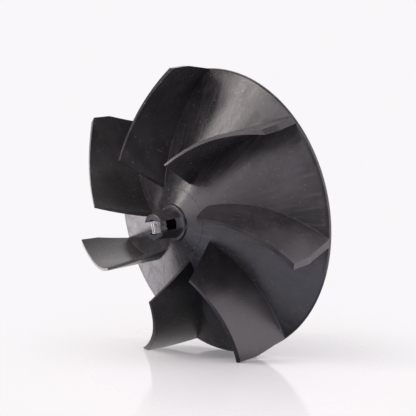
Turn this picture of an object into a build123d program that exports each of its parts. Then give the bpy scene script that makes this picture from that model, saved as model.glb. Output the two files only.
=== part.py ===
# Open-front blower wheel, moulded in one piece, with a split hub and a steel shaft clip.
# The shaft axis is the Y axis, air enters from the front at -Y, and +Z is up.
# The origin is on the shaft axis, at the rear mouth of the shaft bore.
# Heights are measured along the shaft from that mouth towards the front, so y = -height.
# Angles are clockwise from straight up as the wheel is seen from the front.
import os
from math import cos, radians, sin, tan

from build123d import *

# ---- Driving dimensions, in millimetres and degrees ----
rim_radius = 75.0
rim_height = -12.0           # front edge of the rim
cone_angle = 29.0            # the back plate rises from rim to hub at this angle
plate_wall = 2.0             # measured along the shaft
bead_width = 1.6             # raised edge round the rim
bead_height = 0.35

blade_count = 7
blade_root_radius = 21.0     # where the leading edge leaves the cone
eye_radius = 38.0            # front end of the leading edge
eye_height = 44.4
tip_radius = 79.2            # front corner of the outer edge
tip_height = 18.0
kink_radius = 78.9           # below this height the outer edge slopes in to the rim
kink_height = 6.4
blade_base_wall = 3.6        # blade thickness at the rim
blade_front_wall = 1.3       # blade thickness at the eye, after mould draft
# Camber line of a blade at the height of its tip, as radius, angle, and lean in degrees for each
# millimetre towards the front. The outer end of blade 1 points straight up.
camber_points = [
    (17.0, -37.2, 0),
    (38.0, -24.8, 0),
    (60.0, -12.4, 0),
    (79.2, 0.0, 0.053),
    (84.0, 3.4, 0.066),
]

hub_joint_radius = 17.0      # groove between the back plate and the hub cone
hub_groove = 0.35
collar_radius = 9.8
collar_height = 25.9
sleeve_radius = 7.7
jaw_front_radius = 6.8
jaw_front_height = 39.0
jaw_lead_in = 0.6
bore_radius = 4.0            # 8 mm motor shaft
rear_chamfer = 0.5
slot_width = 5.6
slot_angle = 83.0            # the slot runs towards this angle, a little above horizontal

rib_wall = 1.6
rib_rear_height = 2.0
rib_outer_radius = 30.0
rib_angle = 10.0

clip_width = 5.3
clip_wall = 0.6
clip_flat = 4.03             # shaft axis to the inner face of the clip, just clear of a round shaft
clip_rear_height = 33.8
clip_flat_length = 4.4
clip_fold_height = 1.5       # how far the two folds stand out from the flat
clip_fold_pitch = 2.75
clip_fold_count = 2

blade_pitch = 360 / blade_count
slope = tan(radians(cone_angle))
os.makedirs("parts", exist_ok=True)


def cone_height(radius):
    """Height of the plate's front face at a radius."""
    return rim_height + slope * (rim_radius - radius)


def polar(radius, angle):
    """Point in the front view, from a radius and a clockwise angle."""
    return (radius * sin(radians(angle)), radius * cos(radians(angle)))


def meridian_at(angle):
    """Plane through the shaft axis. Local x is the radius at that angle, and local y is the height."""
    across, up = polar(1, angle)
    return Plane(origin=(0, 0, 0), x_dir=(across, 0, up), z_dir=(up, 0, -across))


meridian = meridian_at(90)


# ---- Back plate: a thin cone from the rim's bead up to the hub ----
bead_inner_radius = rim_radius - bead_width
with BuildPart() as back_plate:
    with BuildSketch(meridian):
        Polygon(
            (hub_joint_radius + hub_groove, cone_height(hub_joint_radius + hub_groove)),
            (bead_inner_radius, cone_height(bead_inner_radius)),
            (bead_inner_radius, cone_height(bead_inner_radius) - plate_wall),
            (hub_joint_radius, cone_height(hub_joint_radius) - plate_wall),
            (hub_joint_radius, cone_height(hub_joint_radius) - hub_groove),
            align=None,
        )
    revolve(axis=Axis.Y)
back_plate.part.label = "back_plate"
export_step(back_plate.part, "parts/back_plate.step")

# ---- Rim bead: the rounded outer edge, a little proud of the plate ----
with BuildPart() as rim_bead:
    with BuildSketch(meridian):
        Polygon(
            (bead_inner_radius, cone_height(bead_inner_radius) - plate_wall),
            (rim_radius, rim_height - plate_wall),
            (rim_radius, rim_height + bead_height),
            (bead_inner_radius, cone_height(bead_inner_radius) + bead_height),
            align=None,
        )
    revolve(axis=Axis.Y)
    fillet(rim_bead.edges().group_by(Axis.Y)[0], radius=0.3)
rim_bead.part.label = "rim_bead"
export_step(rim_bead.part, "parts/rim_bead.step")

# ---- Hub cone: carries the slope on from the groove to the shaft sleeve ----
with BuildPart() as hub_cone:
    with BuildSketch(meridian):
        Polygon(
            (sleeve_radius, cone_height(sleeve_radius)),
            (hub_joint_radius - hub_groove, cone_height(hub_joint_radius - hub_groove)),
            (hub_joint_radius, cone_height(hub_joint_radius) - hub_groove),
            (hub_joint_radius, cone_height(hub_joint_radius) - plate_wall),
            (sleeve_radius, cone_height(sleeve_radius) - plate_wall),
            align=None,
        )
    revolve(axis=Axis.Y)
hub_cone.part.label = "hub_cone"
export_step(hub_cone.part, "parts/hub_cone.step")

# ---- Collar: the flat ring at the foot of the jaws ----
with BuildPart() as hub_collar:
    with BuildSketch(meridian):
        Polygon(
            (sleeve_radius, cone_height(sleeve_radius)),
            (collar_radius, cone_height(collar_radius)),
            (collar_radius, collar_height),
            (sleeve_radius, collar_height),
            align=None,
        )
    revolve(axis=Axis.Y)
    fillet(hub_collar.edges().group_by(Axis.Y)[0].sort_by(SortBy.RADIUS)[-1], radius=0.7)
hub_collar.part.label = "hub_collar"
export_step(hub_collar.part, "parts/hub_collar.step")

# ---- Shaft sleeve: the plain tube behind the jaws, which the shaft enters from the rear ----
with BuildPart() as shaft_sleeve:
    with BuildSketch(Plane.XZ):
        Circle(sleeve_radius)
        Circle(bore_radius, mode=Mode.SUBTRACT)
    extrude(amount=collar_height)
    chamfer(shaft_sleeve.edges().group_by(Axis.Y)[-1].sort_by(SortBy.RADIUS)[-1], length=rear_chamfer)
shaft_sleeve.part.label = "shaft_sleeve"
export_step(shaft_sleeve.part, "parts/shaft_sleeve.step")

# ---- Jaws: the two halves of the split tube that grip the end of the shaft ----
slot_across, slot_up = polar(1, slot_angle)
slot_plane = Plane(origin=(0, -collar_height, 0), x_dir=(slot_across, 0, slot_up), z_dir=(0, -1, 0))
jaw_sides = {"upper_jaw": 1, "lower_jaw": -1}
for jaw_name, side in jaw_sides.items():
    with BuildPart() as jaw:
        with BuildSketch(meridian):
            Polygon(
                (bore_radius, collar_height),
                (sleeve_radius, collar_height),
                (jaw_front_radius, jaw_front_height - jaw_lead_in),
                (jaw_front_radius - jaw_lead_in, jaw_front_height),
                (bore_radius, jaw_front_height),
                align=None,
            )
        revolve(axis=Axis.Y)
        with BuildSketch(slot_plane):
            with Locations((0, side * (slot_width / 2 + sleeve_radius))):
                Rectangle(4 * sleeve_radius, 2 * sleeve_radius)
        extrude(amount=jaw_front_height - collar_height, mode=Mode.INTERSECT)
    jaw.part.label = jaw_name
    export_step(jaw.part, f"parts/{jaw_name}.step")

# ---- Rear ribs: thin webs between the sleeve and the back of the cone ----
rib_outline = [
    (sleeve_radius, rib_rear_height),
    (sleeve_radius, cone_height(sleeve_radius) - plate_wall),
    (rib_outer_radius, cone_height(rib_outer_radius) - plate_wall),
]
with BuildPart() as rear_ribs:
    for index in range(blade_count):
        with BuildSketch(meridian_at(rib_angle + index * blade_pitch)):
            Polygon(*rib_outline, align=None)
        extrude(amount=rib_wall / 2, both=True)
    with BuildSketch(meridian):
        Polygon(*rib_outline, align=None)
    revolve(axis=Axis.Y, mode=Mode.INTERSECT)
rear_ribs.part.label = "rear_ribs"
export_step(rear_ribs.part, "parts/rear_ribs.step")

# ---- Shaft clip: a spring-steel strip in the slot, with two folds at its front end ----
clip_mid = clip_flat + clip_wall / 2
clip_fold_start = clip_rear_height + clip_flat_length
with BuildPart() as shaft_clip:
    with BuildSketch(meridian_at(slot_angle)):
        with BuildLine():
            Line((clip_mid, clip_rear_height), (clip_mid, clip_fold_start))
            for fold in range(clip_fold_count):
                fold_start = clip_fold_start + fold * clip_fold_pitch
                ThreePointArc(
                    (clip_mid, fold_start),
                    (clip_mid + clip_fold_height, fold_start + clip_fold_pitch / 2),
                    (clip_mid, fold_start + clip_fold_pitch),
                )
        trace(line_width=clip_wall)
    extrude(amount=clip_width / 2, both=True)
shaft_clip.part.label = "shaft_clip"
export_step(shaft_clip.part, "parts/shaft_clip.step")

# ---- Blades: a drafted wall on the camber line, cut to the wheel's outline ----
draft_per_height = (blade_base_wall - blade_front_wall) / (eye_height - rim_height)
blade_over_height = 4.0      # the wall is drawn past both ends before it is cut
with BuildPart() as blade:
    for height in (rim_height - blade_over_height, eye_height + blade_over_height):
        wall = blade_base_wall - draft_per_height * (height - rim_height)
        with BuildSketch(Plane.XZ.offset(height)):
            with BuildLine():
                Spline(
                    [
                        polar(radius, angle + lean * (height - tip_height))
                        for radius, angle, lean in camber_points
                    ]
                )
            trace(line_width=wall)
    loft(ruled=True)
    with BuildSketch(meridian):
        Polygon(
            (blade_root_radius, cone_height(blade_root_radius)),
            (eye_radius, eye_height),
            (tip_radius, tip_height),
            (kink_radius, kink_height),
            (rim_radius, rim_height + bead_height),
            (bead_inner_radius, cone_height(bead_inner_radius) + bead_height),
            (bead_inner_radius, cone_height(bead_inner_radius)),
            align=None,
        )
    revolve(axis=Axis.Y, mode=Mode.INTERSECT)
blade_solid = blade.part
for index in range(blade_count):
    blade_name = f"blade_{index + 1}"
    with BuildPart() as blade:
        add(blade_solid.rotate(Axis.Y, index * blade_pitch))
    blade.part.label = blade_name
    export_step(blade.part, f"parts/{blade_name}.step")
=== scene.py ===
from math import cos, hypot, pi, radians, sin, tan

import bmesh
import bpy
import numpy as np
from mathutils import Matrix, Vector


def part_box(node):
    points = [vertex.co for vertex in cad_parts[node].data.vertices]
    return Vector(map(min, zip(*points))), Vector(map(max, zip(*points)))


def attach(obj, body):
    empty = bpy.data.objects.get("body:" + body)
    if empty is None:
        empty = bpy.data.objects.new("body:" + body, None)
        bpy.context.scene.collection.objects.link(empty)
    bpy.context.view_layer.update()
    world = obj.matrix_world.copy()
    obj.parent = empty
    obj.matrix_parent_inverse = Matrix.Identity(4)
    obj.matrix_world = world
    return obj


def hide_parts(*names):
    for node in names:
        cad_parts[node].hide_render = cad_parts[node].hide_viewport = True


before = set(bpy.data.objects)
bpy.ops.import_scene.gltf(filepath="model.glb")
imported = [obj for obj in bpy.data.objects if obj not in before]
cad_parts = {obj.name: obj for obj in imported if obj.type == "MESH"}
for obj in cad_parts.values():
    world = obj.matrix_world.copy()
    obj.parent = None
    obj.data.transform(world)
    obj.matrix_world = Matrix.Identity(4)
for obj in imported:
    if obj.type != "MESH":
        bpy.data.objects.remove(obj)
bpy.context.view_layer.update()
mm = 0.001
print("frame loaded:", len(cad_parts), "nodes")


# The wheel's own coordinates: a radius, a clockwise angle from straight up seen from the front,
# and a height along the shaft towards the front, which is -Y.
def fromWheel(radius, angle, height):
    return Vector((radius * sin(radians(angle)), -height, radius * cos(radians(angle))))


def frontOf(node):
    return -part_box(node)[0].y


def rearOf(node):
    return -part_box(node)[1].y


# Sizes that the CAD boxes give, and a few that they do not.
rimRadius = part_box("rim_bead")[1].x
rimRear = rearOf("rim_bead")
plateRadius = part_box("back_plate")[1].x
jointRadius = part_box("hub_cone")[1].x
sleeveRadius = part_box("shaft_sleeve")[1].x
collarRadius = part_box("hub_collar")[1].x
collarFront = frontOf("hub_collar")
jawFront = frontOf("upper_jaw")
eyeHeight = frontOf("blade_1")

boreRadius = 4.0 * mm
plateWall = 2.0 * mm                          # measured along the shaft
coneSlope = tan(radians(29))                  # the plate rises from rim to hub at 29 degrees
coneHeightAtRim = rimRear + plateWall
jawSlotAngle = 83                             # the slot in the hub runs towards this angle


def coneHeight(radius):
    return coneHeightAtRim + coneSlope * (rimRadius - radius)


def directionTo(azimuth, elevation):
    turn, lift = radians(azimuth), radians(elevation)
    return Vector((sin(turn) * cos(lift), -cos(turn) * cos(lift), sin(lift)))


def placePiece(name, bm, body, nodes, material, sharpAngle=40):
    bmesh.ops.recalc_face_normals(bm, faces=bm.faces)
    mesh = bpy.data.meshes.new(name)
    bm.to_mesh(mesh)
    bm.free()
    for face in mesh.polygons:
        face.use_smooth = True
    mesh.set_sharp_from_angle(angle=radians(sharpAngle))
    mesh.materials.append(material)
    piece = bpy.data.objects.new(name, mesh)
    bpy.context.scene.collection.objects.link(piece)
    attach(piece, body)
    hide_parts(*nodes)
    return piece


def roundEdges(piece, width, segments=3, angle=40):
    bevel = piece.modifiers.new("roundedEdges", "BEVEL")
    bevel.width = width
    bevel.segments = segments
    bevel.limit_method = "ANGLE"
    bevel.angle_limit = radians(angle)
    bevel.harden_normals = True
    return bevel


# Camera: angles are in degrees, azimuth from the front towards +X.
cameraView = {
    "target": Vector((0.0003, 0.0012, 0.0035)),
    "azimuth": 45.11,
    "elevation": 9.53,
    "roll": 3.75,
    "distance": 1.5453,
    "lens": 257.7,
    "sensorWidth": 36,
    "nearest": 0.05,
    "farthest": 50,
}


def makeCamera(view):
    back = directionTo(view["azimuth"], view["elevation"])
    data = bpy.data.cameras.new("camera")
    data.lens = view["lens"]
    data.sensor_width = view["sensorWidth"]
    data.clip_start, data.clip_end = view["nearest"], view["farthest"]
    camera = bpy.data.objects.new("camera", data)
    bpy.context.scene.collection.objects.link(camera)
    camera.rotation_mode = "QUATERNION"
    roll = Matrix.Rotation(radians(-view["roll"]), 3, "Z")
    camera.rotation_quaternion = (back.to_track_quat("Z", "Y").to_matrix() @ roll).to_quaternion()
    camera.location = view["target"] + back * view["distance"]
    bpy.context.scene.camera = camera


makeCamera(cameraView)
bpy.context.scene.view_settings.view_transform = "Standard"

# Studio: a pale backdrop, a weak fill with a glow behind the wheel, and softboxes.
studio = {
    "paleTone": (0.947, 0.930, 0.945, 1),
    "fill": 0.15,
    "fillTint": (1.03, 0.985, 1.0, 1),
    "glowAzimuth": -135,
    "glowElevation": 6,
    "glowInner": 16,
    "glowOuter": 62,
    "glow": 1.1,
}
# Each softbox has a direction as seen from the wheel, a spread in degrees, and a brightness.
warmTint, plainTint, coolTint = (1.07, 0.97, 0.95), (1.03, 0.95, 1.03), (0.92, 0.94, 1.17)
softboxes = {
    "keyHigh": {
        "azimuth": -30, "elevation": 45, "wide": 12, "high": 45,
        "brightness": 12, "tint": warmTint,
    },
    "keyLow": {
        "azimuth": -30, "elevation": 0, "wide": 15, "high": 40,
        "brightness": 5, "tint": coolTint,
    },
    "besideCamera": {
        "azimuth": 0, "elevation": 5, "wide": 20, "high": 60,
        "brightness": 3, "tint": plainTint,
    },
    "topLeft": {
        "azimuth": 15, "elevation": 50, "wide": 30, "high": 25,
        "brightness": 2.5, "tint": plainTint,
    },
    "topRight": {
        "azimuth": 95, "elevation": 50, "wide": 70, "high": 30,
        "brightness": 2, "tint": plainTint,
    },
    "rightSide": {
        "azimuth": 130, "elevation": 0, "wide": 70, "high": 70,
        "brightness": 2, "tint": plainTint,
    },
    "leftSide": {
        "azimuth": -100, "elevation": -15, "wide": 45, "high": 35,
        "brightness": 1, "tint": plainTint,
    },
    "bounce": {
        "azimuth": 50, "elevation": -50, "wide": 90, "high": 35,
        "brightness": 1.2, "tint": coolTint,
    },
}
softboxDistance = 1.3


def calc(tree, operation, first, second=None):
    node = tree.nodes.new("ShaderNodeMath")
    node.operation = operation
    for socket, value in zip(node.inputs, (first, second)):
        if isinstance(value, bpy.types.NodeSocket):
            tree.links.new(value, socket)
        elif value is not None:
            socket.default_value = value
    return node.outputs[0]


def remap(tree, value, low, high, toLow=0, toHigh=1):
    node = tree.nodes.new("ShaderNodeMapRange")
    node.interpolation_type = "SMOOTHSTEP"
    for name, number in (("From Min", low), ("From Max", high), ("To Min", toLow), ("To Max", toHigh)):
        node.inputs[name].default_value = number
    tree.links.new(value, node.inputs["Value"])
    return node.outputs["Result"]


def makeWorld():
    world = bpy.data.worlds.new("studio")
    world.use_nodes = True
    bpy.context.scene.world = world
    tree = world.node_tree
    tree.nodes.clear()
    output = tree.nodes.new("ShaderNodeOutputWorld")
    backdrop = tree.nodes.new("ShaderNodeBackground")
    backdrop.inputs["Color"].default_value = studio["paleTone"]
    place = tree.nodes.new("ShaderNodeTexCoord")
    nearness = tree.nodes.new("ShaderNodeVectorMath")
    nearness.operation = "DOT_PRODUCT"
    nearness.inputs[1].default_value = directionTo(studio["glowAzimuth"], studio["glowElevation"])
    tree.links.new(place.outputs["Generated"], nearness.inputs[0])
    strength = remap(
        tree, nearness.outputs["Value"], cos(radians(studio["glowOuter"])),
        cos(radians(studio["glowInner"])), studio["fill"], studio["glow"],
    )
    fill = tree.nodes.new("ShaderNodeBackground")
    fill.inputs["Color"].default_value = studio["fillTint"]
    tree.links.new(strength, fill.inputs["Strength"])
    path = tree.nodes.new("ShaderNodeLightPath")
    mix = tree.nodes.new("ShaderNodeMixShader")
    tree.links.new(path.outputs["Is Camera Ray"], mix.inputs["Fac"])
    tree.links.new(fill.outputs[0], mix.inputs[1])
    tree.links.new(backdrop.outputs[0], mix.inputs[2])
    tree.links.new(mix.outputs[0], output.inputs["Surface"])


def makeSoftbox(name, form):
    lamp = bpy.data.lights.new(name, "AREA")
    lamp.shape = "RECTANGLE"
    lamp.size = 2 * softboxDistance * tan(radians(form["wide"] / 2))
    lamp.size_y = 2 * softboxDistance * tan(radians(form["high"] / 2))
    lamp.energy = form["brightness"] * pi * lamp.size * lamp.size_y
    lamp.color = form["tint"]
    softbox = bpy.data.objects.new(name, lamp)
    bpy.context.scene.collection.objects.link(softbox)
    away = directionTo(form["azimuth"], form["elevation"])
    softbox.location = away * softboxDistance
    softbox.rotation_mode = "QUATERNION"
    softbox.rotation_quaternion = away.to_track_quat("Z", "Y")
    softbox.visible_camera = False


makeWorld()
for name, form in softboxes.items():
    makeSoftbox(name, form)
print("studio made")


# Materials: black moulded plastic and spring steel. Patterns are scaled per metre.
def newMaterial(name):
    material = bpy.data.materials.new(name)
    material.use_nodes = True
    tree = material.node_tree
    return material, tree, tree.nodes["Principled BSDF"]


def noiseOn(tree, vector, scale, detail=3, roughness=0.55):
    noise = tree.nodes.new("ShaderNodeTexNoise")
    noise.inputs["Scale"].default_value = scale
    noise.inputs["Detail"].default_value = detail
    noise.inputs["Roughness"].default_value = roughness
    tree.links.new(vector, noise.inputs["Vector"])
    return noise.outputs["Fac"]


def blendColours(tree, share, first, second):
    mix = tree.nodes.new("ShaderNodeMix")
    mix.data_type = "RGBA"
    tree.links.new(share, mix.inputs["Factor"])
    for socket, colour in ((mix.inputs[6], first), (mix.inputs[7], second)):
        if isinstance(colour, bpy.types.NodeSocket):
            tree.links.new(colour, socket)
        else:
            socket.default_value = colour
    return mix.outputs[2]


def radialVector(tree, point, aroundScale, alongScale):
    # a pattern drawn out along the radius: fine round the wheel, long from hub to rim
    parts = tree.nodes.new("ShaderNodeSeparateXYZ")
    tree.links.new(point, parts.inputs[0])
    flat = tree.nodes.new("ShaderNodeCombineXYZ")
    tree.links.new(parts.outputs["X"], flat.inputs["X"])
    tree.links.new(parts.outputs["Z"], flat.inputs["Y"])
    around = tree.nodes.new("ShaderNodeVectorMath")
    around.operation = "NORMALIZE"
    tree.links.new(flat.outputs[0], around.inputs[0])
    wide = tree.nodes.new("ShaderNodeVectorMath")
    wide.operation = "SCALE"
    wide.inputs["Scale"].default_value = aroundScale
    tree.links.new(around.outputs[0], wide.inputs[0])
    radius = tree.nodes.new("ShaderNodeVectorMath")
    radius.operation = "LENGTH"
    tree.links.new(flat.outputs[0], radius.inputs[0])
    outward = tree.nodes.new("ShaderNodeCombineXYZ")
    tree.links.new(calc(tree, "MULTIPLY", radius.outputs["Value"], alongScale), outward.inputs["Z"])
    both = tree.nodes.new("ShaderNodeVectorMath")
    both.operation = "ADD"
    tree.links.new(wide.outputs[0], both.inputs[0])
    tree.links.new(outward.outputs[0], both.inputs[1])
    return both.outputs[0]


plasticFinish = {
    "darkTone": (0.016, 0.015, 0.016, 1),
    "paleTone": (0.034, 0.032, 0.033, 1),
    "dustTone": (0.30, 0.28, 0.26, 1),
    "smudgeTone": (0.070, 0.066, 0.068, 1),
    "toneScale": 40,
    "smudgeScale": 88,
    "grainScale": 1100,
    "waveScale": 55,
    "mottleScale": 650,
    "dustScale": 480,
    "dustShare": 0.85,
    "grainDepth": 0.0025 * mm,
    "waveDepth": 0.05 * mm,
    "streakDepth": 0.016 * mm,
    "streaksAround": 22,
    "streaksAlong": 45,
    "plainMottle": 0.25,         # how much of the smudge tone the mottling takes
    "streakedMottle": 0.4,
    "smudgeShare": 0.5,
    "streakShare": 0.9,
    "rubbedTone": 0.6,
    "dustSize": 0.17,
    "dustStrength": 0.34,
    "rubbedRoughness": 0.14,     # each of these is added where its pattern is full
    "toneRoughness": 0.05,
    "mottleRoughness": -0.07,
    "dustRoughness": 0.34,
}


def makeMouldedPlastic(name, roughness, streaked):
    finish = plasticFinish
    material, tree, shader = newMaterial(name)
    point = tree.nodes.new("ShaderNodeTexCoord").outputs["Object"]
    tone = remap(tree, noiseOn(tree, point, finish["toneScale"], 6, 0.62), 0.33, 0.7)
    colour = blendColours(tree, tone, finish["darkTone"], finish["paleTone"])
    mottle = remap(tree, noiseOn(tree, point, finish["mottleScale"], 3, 0.6), 0.5, 0.72)
    mottling = calc(tree, "MULTIPLY", mottle, finish["streakedMottle" if streaked else "plainMottle"])
    colour = blendColours(tree, mottling, colour, finish["smudgeTone"])
    smudge = remap(tree, noiseOn(tree, point, finish["smudgeScale"], 4, 0.55), 0.48, 0.78)
    grain = noiseOn(tree, point, finish["grainScale"], 2)
    wave = noiseOn(tree, point, finish["waveScale"], 2, 0.4)
    height = calc(tree, "MULTIPLY", grain, finish["grainDepth"])
    height = calc(tree, "ADD", height, calc(tree, "MULTIPLY", wave, finish["waveDepth"]))
    rubbed = calc(tree, "MULTIPLY", smudge, finish["smudgeShare"])
    if streaked:
        drawnOut = radialVector(tree, point, finish["streaksAround"], finish["streaksAlong"])
        streak = noiseOn(tree, drawnOut, 1, 5, 0.6)
        height = calc(tree, "ADD", height, calc(tree, "MULTIPLY", streak, finish["streakDepth"]))
        rubbed = calc(tree, "MAXIMUM", smudge, remap(tree, streak, 0.48, 0.7, 0, finish["streakShare"]))
    wear = calc(tree, "MULTIPLY", rubbed, finish["rubbedTone"])
    colour = blendColours(tree, wear, colour, finish["smudgeTone"])
    specks = tree.nodes.new("ShaderNodeTexVoronoi")
    specks.inputs["Scale"].default_value = finish["dustScale"]
    tree.links.new(point, specks.inputs["Vector"])
    chance = tree.nodes.new("ShaderNodeSeparateColor")
    tree.links.new(specks.outputs["Color"], chance.inputs[0])
    size = remap(tree, chance.outputs["Red"], 1 - finish["dustShare"], 1, 0, finish["dustSize"])
    dust = calc(tree, "LESS_THAN", specks.outputs["Distance"], size)
    dusty = calc(tree, "MULTIPLY", dust, finish["dustStrength"])
    colour = blendColours(tree, dusty, colour, finish["dustTone"])
    tree.links.new(colour, shader.inputs["Base Color"])
    rough = roughness
    for pattern, share in (
        (rubbed, "rubbedRoughness"), (tone, "toneRoughness"),
        (mottle, "mottleRoughness"), (dust, "dustRoughness"),
    ):
        rough = calc(tree, "ADD", rough, calc(tree, "MULTIPLY", pattern, finish[share]))
    tree.links.new(rough, shader.inputs["Roughness"])
    bump = tree.nodes.new("ShaderNodeBump")
    bump.inputs["Distance"].default_value = 1
    tree.links.new(height, bump.inputs["Height"])
    tree.links.new(bump.outputs[0], shader.inputs["Normal"])
    return material


steelFinish = {
    "brightTone": (0.86, 0.85, 0.83, 1),
    "stainTone": (0.60, 0.58, 0.55, 1),
    "stainScale": 420,
    "brushScales": (4000, 4000, 350),
    "brushDepth": 0.004 * mm,
    "smoothest": 0.2,
    "roughest": 0.42,
}


def makeSpringSteel():
    finish = steelFinish
    material, tree, shader = newMaterial("springSteel")
    point = tree.nodes.new("ShaderNodeTexCoord").outputs["Object"]
    stretch = tree.nodes.new("ShaderNodeMapping")
    stretch.inputs["Rotation"].default_value = (0, radians(jawSlotAngle - 90), 0)
    stretch.inputs["Scale"].default_value = finish["brushScales"]
    tree.links.new(point, stretch.inputs["Vector"])
    brushed = noiseOn(tree, stretch.outputs[0], 1, 4)
    stain = remap(tree, noiseOn(tree, point, finish["stainScale"], 3), 0.45, 0.7)
    colour = blendColours(tree, stain, finish["brightTone"], finish["stainTone"])
    tree.links.new(colour, shader.inputs["Base Color"])
    shader.inputs["Metallic"].default_value = 1
    rough = remap(tree, brushed, 0.3, 0.7, finish["smoothest"], finish["roughest"])
    tree.links.new(rough, shader.inputs["Roughness"])
    bump = tree.nodes.new("ShaderNodeBump")
    bump.inputs["Distance"].default_value = finish["brushDepth"]
    tree.links.new(brushed, bump.inputs["Height"])
    tree.links.new(bump.outputs[0], shader.inputs["Normal"])
    return material


mouldedPlastic = makeMouldedPlastic("mouldedPlastic", 0.29, False)
platePlastic = makeMouldedPlastic("platePlastic", 0.28, True)
springSteel = makeSpringSteel()
print("materials made")


# Rings: the plate, rim, hub cone, collar and sleeve are spun from their profiles.
ringSteps = 288


def spinProfile(points, rounds=()):
    bm = bmesh.new()
    corners = [bm.verts.new((radius, -height, 0)) for radius, height in points]
    for index, corner in enumerate(corners):
        bm.edges.new((corner, corners[(index + 1) % len(corners)]))
    for index, width in rounds:
        bmesh.ops.bevel(
            bm, geom=[corners[index]], offset=width, segments=4, profile=0.5,
            affect="VERTICES", material=-1,
        )
    bmesh.ops.spin(
        bm, geom=bm.verts[:] + bm.edges[:], axis=(0, 1, 0), cent=(0, 0, 0),
        steps=ringSteps, angle=2 * pi, use_merge=True,
    )
    return bm


grooveSize = 0.12 * mm                        # chamfer at the joint between the plate and the hub cone


def makePlate():
    inner = jointRadius
    points = [
        (inner + grooveSize, coneHeight(inner + grooveSize)),
        (plateRadius, coneHeight(plateRadius)),
        (plateRadius, coneHeight(plateRadius) - plateWall),
        (inner, coneHeight(inner) - plateWall),
        (inner, coneHeight(inner) - grooveSize),
    ]
    return placePiece(
        "conePlate", spinProfile(points), "wheel", ["back_plate"], platePlastic
    )


def makeRim():
    step = 0.04 * mm                          # the edge stands this far proud of the plate
    points = [
        (plateRadius, coneHeight(plateRadius) - plateWall),
        (rimRadius, rimRear),
        (rimRadius, coneHeightAtRim + step),
        (plateRadius, coneHeight(plateRadius) + step),
    ]
    bm = spinProfile(points, rounds=[(1, 0.5 * mm), (2, 0.6 * mm)])
    return placePiece("rimEdge", bm, "wheel", ["rim_bead"], mouldedPlastic)


def makeHubCone():
    points = [
        (sleeveRadius, coneHeight(sleeveRadius)),
        (jointRadius, coneHeight(jointRadius)),
        (jointRadius, coneHeight(jointRadius) - plateWall),
        (sleeveRadius, coneHeight(sleeveRadius) - plateWall),
    ]
    return placePiece(
        "hubCone", spinProfile(points), "wheel", ["hub_cone"], platePlastic
    )


def makeCollar():
    points = [
        (sleeveRadius, coneHeight(sleeveRadius)),
        (collarRadius, coneHeight(collarRadius)),
        (collarRadius, collarFront),
        (sleeveRadius, collarFront),
    ]
    bm = spinProfile(points, rounds=[(2, 0.7 * mm)])
    return placePiece("hubCollar", bm, "wheel", ["hub_collar"], mouldedPlastic)


def makeSleeve():
    rear = rearOf("shaft_sleeve")
    points = [
        (boreRadius, rear),
        (sleeveRadius, rear),
        (sleeveRadius, collarFront),
        (boreRadius, collarFront),
    ]
    bm = spinProfile(points, rounds=[(1, 0.5 * mm)])
    return placePiece("shaftSleeve", bm, "wheel", ["shaft_sleeve"], mouldedPlastic)


makePlate()
makeRim()
makeHubCone()
makeCollar()
makeSleeve()
print("rings made")

# Jaws: two halves of a tapered tube, cut apart by the slot.
jawForm = {"frontRadius": 6.8 * mm, "leadIn": 0.6 * mm, "slotWidth": 5.6 * mm}


def makeJaw(name, node, side):
    front = jawForm["frontRadius"]
    points = [
        (boreRadius, collarFront),
        (sleeveRadius, collarFront),
        (front, jawFront - jawForm["leadIn"]),
        (front - jawForm["leadIn"], jawFront),
        (boreRadius, jawFront),
    ]
    bm = spinProfile(points)
    along = fromWheel(1, jawSlotAngle, 0)
    across = along.cross(Vector((0, 1, 0))) * side
    cut = bmesh.ops.bisect_plane(
        bm, geom=bm.verts[:] + bm.edges[:] + bm.faces[:],
        plane_co=across * jawForm["slotWidth"] / 2, plane_no=across, clear_inner=True,
    )
    openEdges = [item for item in cut["geom_cut"] if isinstance(item, bmesh.types.BMEdge)]
    bmesh.ops.holes_fill(bm, edges=openEdges, sides=0)
    jaw = placePiece(name, bm, "wheel", [node], mouldedPlastic)
    roundEdges(jaw, 0.25 * mm)
    return jaw


makeJaw("upperJaw", "upper_jaw", 1)
makeJaw("lowerJaw", "lower_jaw", -1)
print("jaws made")

# Rear ribs: thin webs from the sleeve to the back of the cone.
ribForm = {"wall": 1.6 * mm, "outerRadius": 30 * mm, "firstAngle": 10, "count": 7, "sink": 0.2 * mm}


def makeRibs():
    bm = bmesh.new()
    rearHeight = rearOf("rear_ribs")
    sink = ribForm["sink"]
    inner, outer = sleeveRadius - sink, ribForm["outerRadius"] + sink
    outline = [
        (inner, rearHeight),
        (inner, coneHeight(inner) - plateWall + sink),
        (outer, coneHeight(outer) - plateWall + sink),
    ]
    for index in range(ribForm["count"]):
        angle = ribForm["firstAngle"] + index * 360 / ribForm["count"]
        across = fromWheel(1, angle + 90, 0) * ribForm["wall"]
        corners = [
            bm.verts.new(fromWheel(radius, angle, height) - across / 2) for radius, height in outline
        ]
        web = bm.faces.new(corners)
        thick = bmesh.ops.extrude_face_region(bm, geom=[web], use_keep_orig=True)
        moved = [item for item in thick["geom"] if isinstance(item, bmesh.types.BMVert)]
        bmesh.ops.translate(bm, verts=moved, vec=across)
    ribs = placePiece("rearRibs", bm, "wheel", ["rear_ribs"], mouldedPlastic)
    roundEdges(ribs, 0.25 * mm, segments=2)
    return ribs


makeRibs()
print("ribs made")

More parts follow.
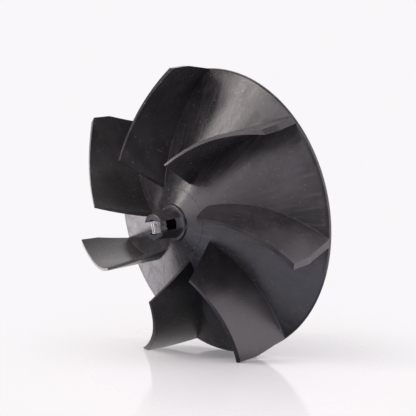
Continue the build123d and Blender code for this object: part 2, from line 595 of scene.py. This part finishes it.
# Blades: drafted walls on a swept camber line, with a fillet where they leave the plate.
bladeForm = {
    "count": 7,
    "rootRadius": 21 * mm,
    "eyeRadius": 38 * mm,
    "tipRadius": 79.2 * mm,
    "tipHeight": 18 * mm,
    "kinkRadius": 78.9 * mm,
    "kinkHeight": 6.4 * mm,
    "baseWall": 3.6 * mm,
    "frontWall": 1.3 * mm,
    "filletRadius": 0.25 * mm,
    "filletRows": 5,
    "wallRows": 24,
    "columns": 60,
    "sink": 0.3 * mm,
    "edgeRound": 0.45 * mm,
    "lookAhead": 0.5 * mm,       # step along the camber line that gives its direction
    "radiusPasses": 3,           # passes that bring a wall point to its radius
}
# Camber line at the height of the tip: radius in mm, angle, and lean in degrees per mm of height.
camberPoints = [
    (17, -37.2, 0), (38, -24.8, 0), (60, -12.4, 0), (79.2, 0, 0.053), (84, 3.4, 0.066),
]
camberRadii, camberAngles, camberLeans = np.array(camberPoints).T
camberCurve = np.polyfit(camberRadii, camberAngles, 4)


def camberPoint(radius, height):
    angle = np.polyval(camberCurve, radius / mm)
    lean = np.interp(radius / mm, camberRadii, camberLeans)
    return fromWheel(radius, angle + lean * (height - bladeForm["tipHeight"]) / mm, height)


def mixOf(a, b, share):
    return a + (b - a) * share


def bladePoint(alongShare, row, side):
    form = bladeForm
    baseRadius = mixOf(form["rootRadius"], rimRadius, alongShare)
    topRadius = mixOf(form["eyeRadius"], form["tipRadius"], alongShare)
    baseHeight = coneHeight(baseRadius)
    topHeight = mixOf(eyeHeight, form["tipHeight"], alongShare)
    turn = min(row / form["filletRows"], 1) * pi / 2
    rise = form["filletRadius"] * (1 - cos(turn))
    if row == 0:
        rise = -form["sink"]
    flare = form["filletRadius"] * (1 - sin(turn))
    climb = max(0, row - form["filletRows"]) / form["wallRows"]
    upShare = mixOf(rise / (topHeight - baseHeight), 1, climb)
    height = mixOf(baseHeight, topHeight, upShare)
    rimHeight = coneHeight(rimRadius)
    kinkShare = (form["kinkHeight"] - rimHeight) / (form["tipHeight"] - rimHeight)
    outerRadii = (rimRadius, form["kinkRadius"], form["tipRadius"])
    outerRadius = np.interp(upShare, (0, kinkShare, 1), outerRadii)
    leadRadius = mixOf(form["rootRadius"], form["eyeRadius"], upShare)
    radius = mixOf(leadRadius, outerRadius, alongShare)
    draft = (form["baseWall"] - form["frontWall"]) / (eyeHeight - rimHeight)
    halfWall = (form["baseWall"] - draft * (height - rimHeight)) / 2 + flare
    followed = radius
    for attempt in range(form["radiusPasses"]):
        middle = camberPoint(followed, height)
        ahead = camberPoint(followed + form["lookAhead"], height) - middle
        across = ahead.cross(Vector((0, 1, 0))).normalized()
        point = middle + across * halfWall * side
        followed += radius - hypot(point.x, point.z)
    return point


def makeBladeMesh():
    bm = bmesh.new()
    rows = bladeForm["filletRows"] + bladeForm["wallRows"]
    bmesh.ops.create_grid(bm, x_segments=bladeForm["columns"], y_segments=rows, size=0.5)
    nearSide = bm.verts[:]
    farSide = bmesh.ops.extrude_face_region(
        bm, geom=bm.verts[:] + bm.edges[:] + bm.faces[:], use_keep_orig=True
    )
    farVerts = [item for item in farSide["geom"] if isinstance(item, bmesh.types.BMVert)]
    for sideVerts, side in ((nearSide, -1), (farVerts, 1)):
        for vert in sideVerts:
            vert.co = bladePoint(vert.co.x + 0.5, round((vert.co.y + 0.5) * rows), side)
    return bm


bladeStart = makeBladeMesh()
for index in range(bladeForm["count"]):
    bm = bladeStart.copy()
    turn = Matrix.Rotation(radians(index * 360 / bladeForm["count"]), 3, "Y")
    bmesh.ops.rotate(bm, verts=bm.verts, cent=(0, 0, 0), matrix=turn)
    blade = placePiece(
        f"bladeVane{index + 1}", bm, "wheel", [f"blade_{index + 1}"], mouldedPlastic
    )
    roundEdges(blade, bladeForm["edgeRound"])
bladeStart.free()
print("blades made")

# Clip: a spring-steel strip in the hub's slot, with two folds at its front end.
clipForm = {
    "width": 5.3 * mm,
    "wall": 0.6 * mm,
    "flat": 4.03 * mm,
    "flatLength": 4.4 * mm,
    "foldHeight": 1.5 * mm,
    "foldPitch": 2.75 * mm,
    "foldCount": 2,
    "stepsPerFold": 14,
}


def makeClip():
    form = clipForm
    rear = rearOf("shaft_clip")
    middle = form["flat"] + form["wall"] / 2
    line = [(middle, rear), (middle, rear + form["flatLength"])]
    for step in range(1, form["foldCount"] * form["stepsPerFold"] + 1):
        share = step / form["stepsPerFold"]
        rise = form["foldHeight"] * (1 - cos(2 * pi * share)) / 2
        line.append((middle + rise, rear + form["flatLength"] + share * form["foldPitch"]))
    bm = bmesh.new()
    across = fromWheel(1, jawSlotAngle + 90, 0) * form["width"]
    strip = [
        bm.verts.new(fromWheel(radius, jawSlotAngle, height) - across / 2)
        for radius, height in line
    ]
    edges = [bm.edges.new(pair) for pair in zip(strip, strip[1:])]
    wide = bmesh.ops.extrude_edge_only(bm, edges=edges)
    moved = [item for item in wide["geom"] if isinstance(item, bmesh.types.BMVert)]
    bmesh.ops.translate(bm, verts=moved, vec=across)
    bmesh.ops.recalc_face_normals(bm, faces=bm.faces)
    clip = placePiece("steelClip", bm, "clip", ["shaft_clip"], springSteel, 60)
    solid = clip.modifiers.new("stripWall", "SOLIDIFY")
    solid.thickness = form["wall"]
    solid.offset = 0
    roundEdges(clip, 0.12 * mm, segments=2, angle=50)
    return clip


makeClip()
print("clip made")

# Floor: a pale glossy patch under the wheel, fading into the backdrop.
# The wheel stands on the bottom of its rim and on two blade tips, so the floor tilts against the shaft.
floorForm = {
    "length": 0.34,
    "width": 0.16,
    "towardCamera": 0.05,
    "tilt": 6.75,
    "fadeStart": -0.15,
    "fadeEnd": 0.97,
    "reflection": 0.235,
    "polish": 0.08,
    "mirrorTone": (0.97, 0.955, 0.965, 1),
    "albedo": (0.72, 0.73, 0.73, 1),
}


def makeFloor():
    form = floorForm
    material, tree, shader = newMaterial("paleFloor")
    tree.nodes.remove(shader)
    flat = tree.nodes.new("ShaderNodeBsdfDiffuse")
    flat.inputs["Color"].default_value = form["albedo"]
    gloss = tree.nodes.new("ShaderNodeBsdfGlossy")
    gloss.inputs["Color"].default_value = form["mirrorTone"]
    gloss.inputs["Roughness"].default_value = form["polish"]
    surface = tree.nodes.new("ShaderNodeMixShader")
    surface.inputs["Fac"].default_value = form["reflection"]
    tree.links.new(flat.outputs[0], surface.inputs[1])
    tree.links.new(gloss.outputs[0], surface.inputs[2])
    point = tree.nodes.new("ShaderNodeTexCoord").outputs["Object"]
    distance = tree.nodes.new("ShaderNodeVectorMath")
    distance.operation = "LENGTH"
    tree.links.new(point, distance.inputs[0])
    clear = tree.nodes.new("ShaderNodeBsdfTransparent")
    fade = tree.nodes.new("ShaderNodeMixShader")
    clearness = remap(tree, distance.outputs["Value"], form["fadeStart"], form["fadeEnd"])
    tree.links.new(clearness, fade.inputs["Fac"])
    tree.links.new(surface.outputs[0], fade.inputs[1])
    tree.links.new(clear.outputs[0], fade.inputs[2])
    tree.links.new(fade.outputs[0], tree.nodes["Material Output"].inputs["Surface"])
    bm = bmesh.new()
    bmesh.ops.create_circle(bm, cap_ends=True, segments=96, radius=1)
    mesh = bpy.data.meshes.new("floor")
    bm.to_mesh(mesh)
    bm.free()
    mesh.materials.append(material)
    floor = bpy.data.objects.new("floor", mesh)
    bpy.context.scene.collection.objects.link(floor)
    turn = Matrix.Rotation(radians(cameraView["azimuth"] - 90), 4, "Z")
    tilt = Matrix.Rotation(radians(-form["tilt"]), 4, "X")
    contact = Vector((0, -rimRear, -rimRadius))
    ahead = Matrix.Translation((form["towardCamera"], 0, 0))
    size = Matrix.Diagonal((form["length"], form["width"], 1, 1))
    floor.matrix_world = Matrix.Translation(contact) @ tilt @ turn @ ahead @ size
    floor.visible_diffuse = False
    floor.visible_glossy = False


makeFloor()
print("floor made")

print("scene finished")
